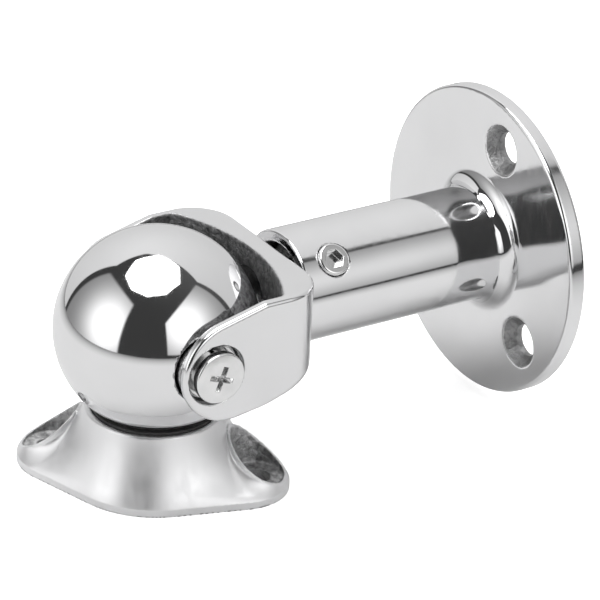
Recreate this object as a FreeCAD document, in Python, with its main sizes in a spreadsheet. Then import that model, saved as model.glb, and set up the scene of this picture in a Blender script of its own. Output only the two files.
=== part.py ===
import FreeCAD, Part
import math
import os
import Sketcher

# Swivelling stanchion base in polished stainless steel.
#
# Frame: origin on the deck under the middle of the diamond base, +Z up through the
# swivel axis, +X along the socket tube towards the round flange.  Millimetres.
#
# Four groups turn on one another: the diamond base, the ball that swivels on it, the
# yoke that tilts about the ball's cross screws, and the spigot that rolls in the yoke
# and carries the socket tube with its flange.

Vector = FreeCAD.Vector
doc = FreeCAD.newDocument("stanchion_base")

SIZES = {
    # diamond base
    "base_half_width": 22.7,
    "base_end_spot": 20.6,
    "base_end_radius": 13.1,
    "base_edge": 3.0,
    "base_turn": -45.0,
    "neck_radius": 16.6,
    "neck_top": 18.3,
    "flare_foot": 22.4,
    "flare_curve": 45.0,
    "well_spot": 25.5,
    "well_radius": 6.6,
    "well_floor": 3.2,
    "boss_radius": 7.4,
    "boss_foot": 14.0,
    "boss_skirt_top": 8.5,
    "boss_skirt_curve": 9.0,
    "slope_curve": 38.0,
    "deck_hole": 3.3,
    "cup_radius": 15.2,
    "cup_floor": 12.0,
    "recess_radius": 11.0,
    "recess_top": 9.5,
    # swivel ball, its seat and its bolt
    "ball_radius": 24.6,
    "ball_height": 39.0,
    "seat_inner": 8.5,
    "seat_top": 18.9,
    "fit_gap": 0.05,
    "swivel_hole": 4.08,
    "thread_radius": 4.0,
    "thread_fit": 0.02,
    "swivel_thread_top": 31.0,
    "swivel_bolt_top": 30.0,
    "swivel_head_low": 0.9,
    "swivel_head_high": 5.8,
    "swivel_head_flats": 13.0,
    "washer_hole": 4.2,
    "swivel_washer_radius": 8.0,
    "swivel_washer_low": 7.8,
    "spring_radius": 6.4,
    "split_width": 1.2,
    # ball's side pockets and the tilt pivot, distances from the ball's centre
    "pocket_radius": 8.6,
    "pocket_floor": 21.0,
    "pivot_thread_end": 10.0,
    "pivot_radius": 3.0,
    "pivot_hole": 3.08,
    "pivot_tip": 10.6,
    "friction_radius": 8.3,
    "friction_top": 21.53,
    "arm_boss_radius": 8.2,
    "arm_boss_end": 21.6,
    "arm_recess_floor": 23.7,
    "arm_recess_radius": 7.4,
    "pivot_washer_hole": 3.15,
    "pivot_washer_radius": 6.6,
    "pivot_washer_top": 24.95,
    "pivot_spring_radius": 5.2,
    "pivot_spring_top": 26.75,
    "head_radius": 6.3,
    "head_top": 29.6,
    "head_edge": 0.35,
    "cross_width": 1.3,
    "cross_length": 5.6,
    "cross_depth": 1.9,
    "cross_turn": 20.0,
    # yoke, from the ball's centre
    "arm_outer": 27.25,
    "arm_inner": 24.9,
    "yoke_back": 30.6,
    "yoke_corner": 11.0,
    "web_corner": 18.5,
    "web_curve": 50.0,
    "yoke_top": 15.4,
    "arm_end_spot": 4.2,
    "arm_end_radius": 12.8,
    "arm_shoulder": 13.0,
    "heel_height": 5.6,
    "heel_curve": 4.0,
    # joint between the yoke and the spigot, along the tube's axis
    "tube_lift": 2.8,
    "sink_radius": 7.4,
    "sink_start": 25.5,
    "sink_end": 28.8,
    "yoke_bolt_head": 7.2,
    "yoke_bolt_face": 25.6,
    "yoke_bolt_cone": 28.8,
    "yoke_bolt_tip": 50.0,
    "bolt_socket_flats": 5.0,
    "bolt_socket_depth": 2.0,
    "roll_washer_end": 31.85,
    "roll_washer_radius": 7.0,
    "spigot_neck": 6.5,
    "spigot_start": 31.9,
    "spigot_step": 38.0,
    "spigot_end": 60.0,
    "spigot_radius": 11.13,
    "spigot_bore_end": 51.0,
    "spigot_edge": 0.8,
    # socket tube, flange and set screw
    "tube_radius": 14.3,
    "bore_radius": 11.2,
    "mouth": 33.5,
    "mouth_chamfer": 0.9,
    "mouth_round": 0.5,
    "flange_front": 91.95,
    "flange_thick": 4.4,
    "flange_radius": 39.0,
    "flange_edge": 0.8,
    "flange_circle": 28.0,
    "flange_hole": 4.0,
    "flange_sink": 6.4,
    "flange_sink_depth": 2.6,
    "flange_hole_turn": 74.5,
    "root_start": 87.5,
    "root_rise": 0.15,
    "root_foot": 18.5,
    "root_curve": 4.4,
    "set_spot": 42.3,
    "set_turn": 45.5,
    "set_radius": 4.0,
    "set_hole": 4.08,
    "set_tip": 11.22,
    "set_top": 14.95,
    "set_edge": 0.5,
    "set_flats": 4.3,
    "set_socket_depth": 2.4,
}

sheet = doc.addObject("Spreadsheet::Sheet", "sheet")
for row, (alias, value) in enumerate(SIZES.items(), start=1):
    sheet.set(f"A{row}", alias)
    sheet.set(f"B{row}", str(value))
    sheet.setAlias(f"B{row}", alias)
doc.recompute()


# Sizes are written as sums of sheet names, such as "mouth + 0.5*split_width".

def sized(text):
    """The value of such a sum, in millimetres or degrees."""
    total = 0.0
    sign = 1.0
    for word in text.split():
        if word in ("+", "-"):
            sign = 1.0 if word == "+" else -1.0
            continue
        factor, _, name = word.rpartition("*")
        amount = SIZES[name] if name in SIZES else float(name)
        total += sign * amount * (float(factor) if factor else 1.0)
    return total


def bound(text):
    """The same sum as an expression on the spreadsheet."""
    words = []
    for word in text.split():
        factor, star, name = word.rpartition("*")
        words.append(factor + star + ("sheet." + name if name in SIZES else name))
    if words[0] == "-":
        words[0] = "0 -"
    return " ".join(words)


def bind(item, prop, text):
    item.setExpression(prop, bound(text))


def new_body(name, spot=("0", "0", "0"), rotation=None):
    """A body whose local origin sits at spot in the part's frame."""
    body = doc.addObject("PartDesign::Body", name)
    body.Label = name
    turn = rotation or FreeCAD.Rotation()
    body.Placement = FreeCAD.Placement(Vector(*[sized(text) for text in spot]), turn)
    for axis, text in zip("xyz", spot):
        bind(body, f"Placement.Base.{axis}", text)
    return body


def sketch_on(body, name, plane, shift=None):
    """A sketch on one of the body's own origin planes, moved by shift (x, y, z texts)."""
    sketch = body.newObject("Sketcher::SketchObject", name)
    support = next(item for item in body.Origin.OriginFeatures if item.Role == plane)
    sketch.AttachmentSupport = (support, [""])
    sketch.MapMode = "FlatFace"
    if shift:
        sketch.AttachmentOffset.Base = Vector(*[sized(text) for text in shift])
        for axis, text in zip("xyz", shift):
            bind(sketch, f"AttachmentOffset.Base.{axis}", text)
    return sketch


def bind_datum(sketch, constraint, text):
    index = sketch.addConstraint(constraint)
    sketch.renameConstraint(index, f"size{index}")
    bind(sketch, f"Constraints.size{index}", text)


def pin_point(sketch, geometry, end, x_text, y_text):
    """Hold one end of a geometry at a place given by two sums."""
    for kind, axis, text in (("DistanceX", -2, x_text), ("DistanceY", -1, y_text)):
        if text == "0":
            sketch.addConstraint(Sketcher.Constraint("PointOnObject", geometry, end, axis))
        else:
            rule = Sketcher.Constraint(kind, -1, 1, geometry, end, sized(text))
            bind_datum(sketch, rule, text)


def arc_centre(start, end, radius, side):
    """Centre of the short arc from start to end; side is +1 to bulge left of the chord,
    -1 right."""
    chord = end - start
    reach = math.sqrt(radius ** 2 - (chord.Length / 2) ** 2)
    left = Vector(-chord.y, chord.x, 0).normalize()
    return (start + end) / 2 - left * side * reach


def outline(sketch, points):
    """A closed outline.  Each point is (x, y) for a straight edge to the next point,
    or (x, y, radius, side) for an arc to it."""
    places = [Vector(sized(point[0]), sized(point[1]), 0) for point in points]
    ends = []
    for index, point in enumerate(points):
        start, end = places[index], places[(index + 1) % len(points)]
        if len(point) == 2:
            geometry = sketch.addGeometry(Part.LineSegment(start, end), False)
            ends.append((geometry, 1, 2))
            continue
        centre = arc_centre(start, end, sized(point[2]), point[3])
        angles = [math.atan2(place.y - centre.y, place.x - centre.x) for place in (start, end)]
        forward = point[3] < 0
        if not forward:
            angles.reverse()
        round_edge = Part.Circle(centre, Vector(0, 0, 1), sized(point[2]))
        geometry = sketch.addGeometry(Part.ArcOfCircle(round_edge, *angles), False)
        bind_datum(sketch, Sketcher.Constraint("Radius", geometry, sized(point[2])), point[2])
        ends.append((geometry, 1, 2) if forward else (geometry, 2, 1))
    for index, point in enumerate(points):
        before, after = ends[index - 1], ends[index]
        join = Sketcher.Constraint("Coincident", before[0], before[2], after[0], after[1])
        sketch.addConstraint(join)
        pin_point(sketch, after[0], after[1], point[0], point[1])


def circle(sketch, x_text, y_text, radius_text):
    centre = Vector(sized(x_text), sized(y_text), 0)
    ring = Part.Circle(centre, Vector(0, 0, 1), sized(radius_text))
    geometry = sketch.addGeometry(ring, False)
    bind_datum(sketch, Sketcher.Constraint("Radius", geometry, sized(radius_text)), radius_text)
    pin_point(sketch, geometry, 3, x_text, y_text)


def half_disc(sketch, height_text, radius_text):
    """Half a disc right of the vertical axis, for turning into a sphere."""
    centre = Vector(0, sized(height_text), 0)
    radius = sized(radius_text)
    ring = Part.Circle(centre, Vector(0, 0, 1), radius)
    arc = sketch.addGeometry(Part.ArcOfCircle(ring, -math.pi / 2, math.pi / 2), False)
    ends = [centre + Vector(0, side * radius, 0) for side in (1, -1)]
    line = sketch.addGeometry(Part.LineSegment(*ends), False)
    sketch.addConstraint(Sketcher.Constraint("Coincident", arc, 2, line, 1))
    sketch.addConstraint(Sketcher.Constraint("Coincident", line, 2, arc, 1))
    sketch.addConstraint(Sketcher.Constraint("PointOnObject", arc, 1, -2))
    sketch.addConstraint(Sketcher.Constraint("PointOnObject", arc, 2, -2))
    bind_datum(sketch, Sketcher.Constraint("Radius", arc, radius), radius_text)
    pin_point(sketch, arc, 3, "0", height_text)


def polygon(sketch, flats_text, sides=6):
    """A regular polygon about the sketch's origin, given across its flats."""
    radius = sized(flats_text) / 2 / math.cos(math.pi / sides)
    corners = [Vector(radius * math.cos(turn), radius * math.sin(turn), 0)
               for turn in (2 * math.pi * index / sides for index in range(sides))]
    lines = [sketch.addGeometry(Part.LineSegment(corner, corners[(index + 1) % sides]), False)
             for index, corner in enumerate(corners)]
    ring = sketch.addGeometry(Part.Circle(Vector(), Vector(0, 0, 1), radius), True)
    sketch.addConstraint(Sketcher.Constraint("Coincident", ring, 3, -1, 1))
    for index, line in enumerate(lines):
        after = lines[(index + 1) % sides]
        sketch.addConstraint(Sketcher.Constraint("Coincident", line, 2, after, 1))
        sketch.addConstraint(Sketcher.Constraint("PointOnObject", line, 1, ring))
        if index:
            sketch.addConstraint(Sketcher.Constraint("Equal", lines[0], line))
    sketch.addConstraint(Sketcher.Constraint("PointOnObject", lines[0], 1, -1))
    index = sketch.addConstraint(Sketcher.Constraint("Radius", ring, radius))
    sketch.renameConstraint(index, "reach")
    share = 0.5 / math.cos(math.pi / sides)
    bind(sketch, "Constraints.reach", f"{share:.9f}*{flats_text}")


def feature(body, kind, name, sketch, **settings):
    """A PartDesign feature on a sketch.  A text setting is bound to the sheet."""
    item = body.newObject("PartDesign::" + kind, name)
    item.Profile = sketch
    for prop, value in settings.items():
        if isinstance(value, str) and prop in ("Length", "TaperAngle"):
            bind(item, prop, value)
        else:
            setattr(item, prop, value)
    sketch.Visibility = False
    doc.recompute()
    return item


def check_cut(body, before, name):
    """A cut has to remove something."""
    if body.Shape.Volume > before - 1e-3:
        raise RuntimeError(f"{name} cut nothing from {body.Label}")


def turned(body, name, plane, shapes, axis="V_Axis", shift=None, cut=False):
    """Turn closed outlines right round the sketch's own axis."""
    before = body.Shape.Volume if cut else 0.0
    sketch = sketch_on(body, name + "_sketch", plane, shift)
    for points in shapes:
        outline(sketch, points)
    kind = "Groove" if cut else "Revolution"
    item = feature(body, kind, name, sketch, ReferenceAxis=(sketch, [axis]), Angle=360.0)
    if cut:
        check_cut(body, before, name)
    return item


def sunk(body, name, sketch, length, **settings):
    """A pocket along a sketch's normal, turned over when it points off the solid."""
    before = body.Shape.Volume
    item = feature(body, "Pocket", name, sketch, Length=length, **settings)
    if body.Shape.Volume > before - 1e-3:
        item.Reversed = not item.Reversed
        doc.recompute()
    check_cut(body, before, name)
    return item


def ring_outline(inner, outer, low, high):
    """A flat ring's section: a washer or a sleeve."""
    return [(inner, low), (outer, low), (outer, high), (inner, high)]


def washer(name, spot, rotation, inner, outer, low, high, split=False):
    """A flat washer, or a spring washer when it is split."""
    body = new_body(name, spot, rotation)
    turned(body, "ring", "XZ_Plane", [ring_outline(inner, outer, low, high)])
    if split:
        sketch = sketch_on(body, "split_sketch", "XZ_Plane")
        slit = [("0.5*split_width", f"{low} - 1"), ("-0.5*split_width", f"{low} - 1"),
                ("-1.2*split_width", f"{high} + 1"), ("-0.2*split_width", f"{high} + 1")]
        outline(sketch, slit)
        sunk(body, "split", sketch, "2*" + outer)
    return body


def diamond(sketch):
    """The base's outline: two wide arcs and two end arcs joined by tangent lines."""
    wide, end_radius, spot = (sized(name) for name in
                              ("base_half_width", "base_end_radius", "base_end_spot"))
    lean = math.acos((wide - end_radius) / spot)
    arcs = []
    for turn, half, centre, radius in (
            (0.0, lean, spot, end_radius), (90.0, math.pi / 2 - lean, 0.0, wide),
            (180.0, lean, -spot, end_radius), (270.0, math.pi / 2 - lean, 0.0, wide)):
        middle = math.radians(turn)
        ring = Part.Circle(Vector(centre, 0, 0), Vector(0, 0, 1), radius)
        arc = Part.ArcOfCircle(ring, middle - half, middle + half)
        arcs.append(sketch.addGeometry(arc, False))
    for index, arc in enumerate(arcs):
        after = arcs[(index + 1) % 4]
        start, end = sketch.getPoint(arc, 2), sketch.getPoint(after, 1)
        line = sketch.addGeometry(Part.LineSegment(start, end), False)
        sketch.addConstraint(Sketcher.Constraint("Tangent", arc, 2, line, 1))
        sketch.addConstraint(Sketcher.Constraint("Tangent", line, 2, after, 1))
    for arc, name in zip(arcs, ("base_end_radius", "base_half_width") * 2):
        bind_datum(sketch, Sketcher.Constraint("Radius", arc, sized(name)), name)
    pin_point(sketch, arcs[0], 3, "base_end_spot", "0")
    pin_point(sketch, arcs[2], 3, "- base_end_spot", "0")
    for arc in arcs[1::2]:
        sketch.addConstraint(Sketcher.Constraint("Coincident", arc, 3, -1, 1))


def make_deck_base():
    """Cast diamond base: a flared neck with a cup for the ball, and a screw well cut
    down into each end behind a raised boss."""
    turn = FreeCAD.Rotation(Vector(0, 0, 1), sized("base_turn"))
    body = new_body("deck_base", rotation=turn)
    bind(body, "Placement.Rotation.Angle", "base_turn")
    body.Placement.Rotation.Axis = Vector(0, 0, 1)
    plate = sketch_on(body, "plate_sketch", "XY_Plane")
    diamond(plate)
    feature(body, "Pad", "plate", plate, Length="base_edge")
    for side, sign in (("left", "-"), ("right", "")):
        boss = [("0", "0"), ("boss_foot", "0"),
                ("boss_foot", "base_edge - 0.3", "boss_skirt_curve", 1),
                ("boss_radius", "boss_skirt_top"), ("boss_radius", "neck_top"),
                ("0", "neck_top")]
        turned(body, f"boss_{side}", "XZ_Plane", [boss], shift=(f"{sign}1*well_spot", "0", "0"))
    slopes = sketch_on(body, "slopes_sketch", "XZ_Plane")
    for sign, side in (("", -1), ("-", 1)):
        outline(slopes, [
            (f"{sign}1*base_end_spot {sign or '+'} base_end_radius", "base_edge",
             "slope_curve", side * -1),
            (f"{sign}1*neck_radius", "neck_top"), (f"{sign}1*neck_radius", "2*neck_top"),
            (f"{sign}2*base_end_spot", "2*neck_top"), (f"{sign}2*base_end_spot", "base_edge")])
    sunk(body, "slopes", slopes, "4*base_half_width", Midplane=True)
    flare = [("0", "0"), ("flare_foot", "0"), ("flare_foot", "base_edge", "flare_curve", 1),
             ("neck_radius", "neck_top"), ("0", "neck_top")]
    turned(body, "flare", "XZ_Plane", [flare])
    trim = sketch_on(body, "trim_sketch", "XY_Plane")
    diamond(trim)
    circle(trim, "0", "0", "3*base_end_spot")
    sunk(body, "trim", trim, "3*neck_top", Midplane=True)
    wells = sketch_on(body, "wells_sketch", "XY_Plane", ("0", "0", "well_floor"))
    holes = sketch_on(body, "holes_sketch", "XY_Plane")
    for sign in ("-", ""):
        circle(wells, f"{sign}1*well_spot", "0", "well_radius")
        circle(holes, f"{sign}1*well_spot", "0", "deck_hole")
    sunk(body, "wells", wells, "neck_top", Reversed=True)
    sunk(body, "holes", holes, "neck_top", Reversed=True)
    hollow = [("0", "-1*base_edge"), ("recess_radius", "-1*base_edge"),
              ("recess_radius", "recess_top"), ("swivel_hole", "recess_top"),
              ("swivel_hole", "cup_floor"), ("cup_radius", "cup_floor"),
              ("cup_radius", "2*neck_top"), ("0", "2*neck_top")]
    turned(body, "hollow", "XZ_Plane", [hollow], cut=True)


def make_seat_ring():
    """Nylon seat that the ball turns in."""
    body = new_body("seat_ring")
    section = ring_outline("seat_inner", "cup_radius - fit_gap", "cup_floor + fit_gap", "seat_top")
    turned(body, "ring", "XZ_Plane", [section])
    sketch = sketch_on(body, "dish_sketch", "XZ_Plane")
    half_disc(sketch, "ball_height", "ball_radius + fit_gap")
    before = body.Shape.Volume
    feature(body, "Groove", "dish", sketch, ReferenceAxis=(sketch, ["V_Axis"]), Angle=360.0)
    check_cut(body, before, "dish")


def make_swivel_ball():
    """Ball with a tapped hole below and a flat-bottomed pocket in each side for the
    yoke's boss, tapped for the cross screw.  Local origin at the ball's centre."""
    body = new_body("swivel_ball", ("0", "0", "ball_height"))
    sketch = sketch_on(body, "ball_sketch", "XZ_Plane")
    half_disc(sketch, "0", "ball_radius")
    feature(body, "Revolution", "ball", sketch, ReferenceAxis=(sketch, ["V_Axis"]), Angle=360.0)
    tapped = [("0", "-1*ball_height"), ("thread_radius + thread_fit", "-1*ball_height"),
              ("thread_radius + thread_fit", "swivel_thread_top - ball_height"),
              ("0", "swivel_thread_top - ball_height")]
    turned(body, "swivel_thread", "XZ_Plane", [tapped], cut=True)
    pockets = []
    for sign in ("-", ""):
        thread = "pivot_radius + thread_fit"
        pockets.append([("0", f"{sign}1*pivot_thread_end"), (thread, f"{sign}1*pivot_thread_end"),
                        (thread, f"{sign}1*pocket_floor"),
                        ("pocket_radius", f"{sign}1*pocket_floor"),
                        ("pocket_radius", f"{sign}1*arm_outer"), ("0", f"{sign}1*arm_outer")])
    turned(body, "pockets", "XY_Plane", pockets, cut=True)


def make_swivel_bolt():
    """Hexagon bolt up through the base into the ball, with its two washers."""
    body = new_body("swivel_bolt")
    sketch = sketch_on(body, "head_sketch", "XY_Plane", ("0", "0", "swivel_head_low"))
    polygon(sketch, "swivel_head_flats")
    feature(body, "Pad", "head", sketch, Length="swivel_head_high - swivel_head_low")
    shank = [("0", "swivel_head_low + 1"), ("thread_radius", "swivel_head_low + 1"),
             ("thread_radius", "swivel_bolt_top"), ("0", "swivel_bolt_top")]
    turned(body, "shank", "XZ_Plane", [shank])
    level = FreeCAD.Rotation()
    spot = ("0", "0", "0")
    washer("swivel_spring_washer", spot, level, "washer_hole", "spring_radius",
           "swivel_head_high + thread_fit", "swivel_washer_low - thread_fit", split=True)
    washer("swivel_washer", spot, level, "washer_hole", "swivel_washer_radius",
           "swivel_washer_low", "recess_top - fit_gap")


def tangent_turn(first, second):
    """Direction of the lower outer tangent's normal for two circles (x, z, radius)."""
    across, up = second[0] - first[0], second[1] - first[1]
    lean = math.acos((first[2] - second[2]) / math.hypot(across, up))
    return math.atan2(up, across) - lean


def yoke_side(sketch):
    """The yoke from the side: a level top, a round end about the pivot, a bottom that
    rises towards the web and a round heel, inside a disc that is all cut away."""
    tip = (sized("arm_end_spot"), 0.0, sized("arm_end_radius"))
    heel = (sized("yoke_back - heel_curve"), -sized("heel_height"), sized("heel_curve"))
    low = tangent_turn(tip, heel)
    shoulder = (sized("arm_shoulder") - tip[0], sized("yoke_top"))
    high = math.atan2(shoulder[1], shoulder[0]) + math.acos(tip[2] / math.hypot(*shoulder))
    arcs = []
    for (x, z, radius), start, end in ((tip, high, low + 2 * math.pi), (heel, low, 0.0)):
        ring = Part.Circle(Vector(x, z, 0), Vector(0, 0, 1), radius)
        arcs.append(sketch.addGeometry(Part.ArcOfCircle(ring, start, end), False))
    back_top = Vector(sized("yoke_back"), sized("yoke_top"), 0)
    shoulder_top = Vector(sized("arm_shoulder"), sized("yoke_top"), 0)
    stretches = ((sketch.getPoint(arcs[0], 2), sketch.getPoint(arcs[1], 1)),
                 (sketch.getPoint(arcs[1], 2), back_top), (back_top, shoulder_top),
                 (shoulder_top, sketch.getPoint(arcs[0], 1)))
    bottom, back, top, slope = (sketch.addGeometry(Part.LineSegment(*pair), False)
                                for pair in stretches)
    for rule in (("Tangent", arcs[0], 2, bottom, 1), ("Tangent", bottom, 2, arcs[1], 1),
                 ("Tangent", arcs[1], 2, back, 1), ("Coincident", back, 2, top, 1),
                 ("Coincident", top, 2, slope, 1), ("Tangent", slope, 2, arcs[0], 1)):
        sketch.addConstraint(Sketcher.Constraint(*rule))
    for arc, name in zip(arcs, ("arm_end_radius", "heel_curve")):
        bind_datum(sketch, Sketcher.Constraint("Radius", arc, sized(name)), name)
    pin_point(sketch, arcs[0], 3, "arm_end_spot", "0")
    pin_point(sketch, arcs[1], 3, "yoke_back - heel_curve", "-1*heel_height")
    pin_point(sketch, top, 1, "yoke_back", "yoke_top")
    pin_point(sketch, top, 2, "arm_shoulder", "yoke_top")
    circle(sketch, "0", "0", "3*yoke_back")


def make_yoke():
    """U-shaped yoke.  Local origin at the ball's centre, on the tilt pivot."""
    body = new_body("yoke", ("0", "0", "ball_height"))
    plan = sketch_on(body, "plan_sketch", "XY_Plane", ("0", "0", "-1.5*yoke_top"))
    tip = "arm_end_spot - 1.2*arm_end_radius"
    outline(plan, [
        (tip, "-1*arm_outer"), ("yoke_back - yoke_corner", "-1*arm_outer", "yoke_corner", -1),
        ("yoke_back", "yoke_corner - arm_outer"),
        ("yoke_back", "arm_outer - yoke_corner", "yoke_corner", -1),
        ("yoke_back - yoke_corner", "arm_outer"), (tip, "arm_outer"), (tip, "arm_inner"),
        ("web_corner", "arm_inner", "web_curve", 1), ("web_corner", "-1*arm_inner"),
        (tip, "-1*arm_inner")])
    feature(body, "Pad", "bow", plan, Length="3*yoke_top")
    side = sketch_on(body, "side_sketch", "XZ_Plane")
    yoke_side(side)
    sunk(body, "side", side, "4*arm_outer", Midplane=True)
    bosses = [ring_outline("0", "arm_boss_radius", f"{sign}1*arm_boss_end",
                           f"{sign}1*arm_inner {sign or '+'} 1") for sign in ("-", "")]
    turned(body, "bosses", "XY_Plane", bosses)
    recesses = []
    for sign in ("-", ""):
        recesses.append([("0", f"{sign}1*pocket_floor"), ("pivot_hole", f"{sign}1*pocket_floor"),
                         ("pivot_hole", f"{sign}1*arm_recess_floor"),
                         ("arm_recess_radius", f"{sign}1*arm_recess_floor"),
                         ("arm_recess_radius", f"{sign}1*head_top"), ("0", f"{sign}1*head_top")])
    turned(body, "recesses", "XY_Plane", recesses, cut=True)
    sink = [("0.9*sink_start", "0"), ("yoke_back + 1", "0"), ("yoke_back + 1", "swivel_hole"),
            ("sink_end", "swivel_hole"), ("sink_start", "sink_radius"),
            ("0.9*sink_start", "sink_radius")]
    turned(body, "sink", "XZ_Plane", [sink], axis="H_Axis", shift=("0", "tube_lift", "0"), cut=True)


def make_pivot(side, outward):
    """One side's cross-recess pan screw, with its plain, spring and friction washers.
    Local Z points outward from the ball's centre along the tilt pivot."""
    spot = ("0", "0", "ball_height")
    facing = FreeCAD.Rotation(Vector(0, 0, 1), outward)
    body = new_body("pivot_screw_" + side, spot, facing)
    turned(body, "screw", "XZ_Plane", [[
        ("0", "pivot_tip"), ("pivot_radius", "pivot_tip"),
        ("pivot_radius", "pivot_spring_top + fit_gap"),
        ("head_radius", "pivot_spring_top + fit_gap"), ("head_radius", "head_top - head_edge"),
        ("head_radius - head_edge", "head_top"), ("0", "head_top")]])
    cross = sketch_on(body, "cross_sketch", "XY_Plane", ("0", "0", "head_top"))
    cross.AttachmentOffset.Rotation = FreeCAD.Rotation(Vector(0, 0, 1), sized("cross_turn"))
    half, reach = "0.5*cross_width", "0.5*cross_length"
    low_half, low_reach = "-" + half, "-" + reach
    outline(cross, [
        (reach, low_half), (reach, half), (half, half), (half, reach), (low_half, reach),
        (low_half, half), (low_reach, half), (low_reach, low_half), (low_half, low_half),
        (low_half, low_reach), (half, low_reach), (half, low_half)])
    sunk(body, "cross", cross, "cross_depth")
    washer("friction_washer_" + side, spot, facing, "pivot_washer_hole", "friction_radius",
           "pocket_floor + thread_fit", "friction_top")
    washer("pivot_washer_" + side, spot, facing, "pivot_washer_hole", "pivot_washer_radius",
           "arm_recess_floor + fit_gap", "pivot_washer_top")
    washer("pivot_spring_washer_" + side, spot, facing, "pivot_washer_hole",
           "pivot_spring_radius", "pivot_washer_top + thread_fit", "pivot_spring_top", split=True)


TUBE_SPOT = ("0", "0", "ball_height + tube_lift")
ALONG_TUBE = FreeCAD.Rotation(Vector(0, 0, 1), Vector(1, 0, 0))


def make_yoke_bolt():
    """Countersunk socket bolt through the web into the spigot.  Local Z runs along
    the tube from the swivel axis, here and in the parts that follow."""
    body = new_body("yoke_bolt", TUBE_SPOT, ALONG_TUBE)
    turned(body, "bolt", "XZ_Plane", [[
        ("0", "yoke_bolt_face"), ("yoke_bolt_head", "yoke_bolt_face"),
        ("thread_radius", "yoke_bolt_cone"), ("thread_radius", "yoke_bolt_tip"),
        ("0", "yoke_bolt_tip")]])
    sketch = sketch_on(body, "socket_sketch", "XY_Plane", ("0", "0", "yoke_bolt_face"))
    polygon(sketch, "bolt_socket_flats")
    sunk(body, "socket", sketch, "bolt_socket_depth", Reversed=True)
    washer("roll_washer", TUBE_SPOT, ALONG_TUBE, "washer_hole", "roll_washer_radius",
           "yoke_back + fit_gap", "roll_washer_end")


def make_spigot():
    """Stepped spigot that fills the socket's mouth and is tapped for the yoke bolt."""
    body = new_body("spigot", TUBE_SPOT, ALONG_TUBE)
    thread = "thread_radius + thread_fit"
    turned(body, "spigot_turned", "XZ_Plane", [[
        (thread, "spigot_start"), ("spigot_neck", "spigot_start"),
        ("spigot_neck", "spigot_step"), ("spigot_radius - spigot_edge", "spigot_step"),
        ("spigot_radius", "spigot_step + spigot_edge"),
        ("spigot_radius", "spigot_end - spigot_edge"),
        ("spigot_radius - spigot_edge", "spigot_end"), ("0", "spigot_end"),
        ("0", "spigot_bore_end"), (thread, "spigot_bore_end")]])


def make_socket_tube():
    """Socket tube, bored through and chamfered at its mouth, with a tapped hole for
    the set screw.  Local X points out through that hole."""
    lean = math.radians(sized("set_turn"))
    across = Vector(0, -math.sin(lean), math.cos(lean))
    along = Vector(1, 0, 0)
    facing = FreeCAD.Rotation(across, along.cross(across), along, "ZXY")
    body = new_body("socket_tube", TUBE_SPOT, facing)
    turned(body, "tube", "XZ_Plane", [[
        ("bore_radius + mouth_chamfer", "mouth"), ("tube_radius - mouth_round", "mouth"),
        ("tube_radius", "mouth + mouth_round"), ("tube_radius", "flange_front - thread_fit"),
        ("bore_radius", "flange_front - thread_fit"), ("bore_radius", "mouth + mouth_chamfer")]])
    hole = [("0", "0"), ("2*tube_radius", "0"), ("2*tube_radius", "set_hole"), ("0", "set_hole")]
    turned(body, "set_hole", "XZ_Plane", [hole], axis="H_Axis", shift=("0", "set_spot", "0"),
           cut=True)
    screw = new_body("set_screw", ("set_spot", "0", "ball_height + tube_lift"),
                     FreeCAD.Rotation(Vector(0, 0, 1), across))
    turned(screw, "screw", "XZ_Plane", [[
        ("0", "set_tip"), ("set_radius - set_edge", "set_tip"),
        ("set_radius", "set_tip + set_edge"), ("set_radius", "set_top - set_edge"),
        ("set_radius - set_edge", "set_top"), ("0", "set_top")]])
    sketch = sketch_on(screw, "socket_sketch", "XY_Plane", ("0", "0", "set_top"))
    polygon(sketch, "set_flats")
    sunk(screw, "socket", sketch, "set_socket_depth")


def make_root_weld():
    """Dressed weld round the root of the tube: a cove running out onto the flange."""
    body = new_body("root_weld", TUBE_SPOT, ALONG_TUBE)
    inner = "tube_radius + thread_fit"
    turned(body, "cove", "XZ_Plane", [[
        (inner, "root_start"), (inner, "flange_front - thread_fit"),
        ("root_foot", "flange_front - thread_fit", "root_curve", -1),
        ("tube_radius + root_rise", "root_start")]])


def make_flange_plate():
    """Round flange with three countersunk screw holes."""
    body = new_body("flange_plate", TUBE_SPOT, ALONG_TUBE)
    turned(body, "plate", "XZ_Plane", [[
        ("0", "flange_front"), ("flange_radius - flange_edge", "flange_front", "flange_edge", -1),
        ("flange_radius", "flange_front + flange_edge"),
        ("flange_radius", "flange_front + flange_thick"), ("0", "flange_front + flange_thick")]])
    hole = turned(body, "hole", "XZ_Plane", [[
        ("0", "flange_front - 1"), ("flange_sink", "flange_front - 1"),
        ("flange_sink", "flange_front"), ("flange_hole", "flange_front + flange_sink_depth"),
        ("flange_hole", "flange_front + 2*flange_thick"),
        ("0", "flange_front + 2*flange_thick")]], shift=("flange_circle", "0", "0"), cut=True)
    pattern = body.newObject("PartDesign::PolarPattern", "holes")
    pattern.Originals = [hole]
    pattern.Axis = (next(item for item in body.Origin.OriginFeatures if item.Role == "Z_Axis"), [""])
    pattern.Angle = 360.0
    pattern.Occurrences = 3
    body.Tip = pattern
    doc.recompute()
    turn = FreeCAD.Rotation(Vector(1, 0, 0), sized("flange_hole_turn"))
    body.Placement.Rotation = turn.multiply(ALONG_TUBE)


make_deck_base()
make_seat_ring()
make_swivel_ball()
make_swivel_bolt()
make_yoke()
make_pivot("near", Vector(0, -1, 0))
make_pivot("far", Vector(0, 1, 0))
make_yoke_bolt()
make_spigot()
make_socket_tube()
make_root_weld()
make_flange_plate()
doc.recompute()

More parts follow.
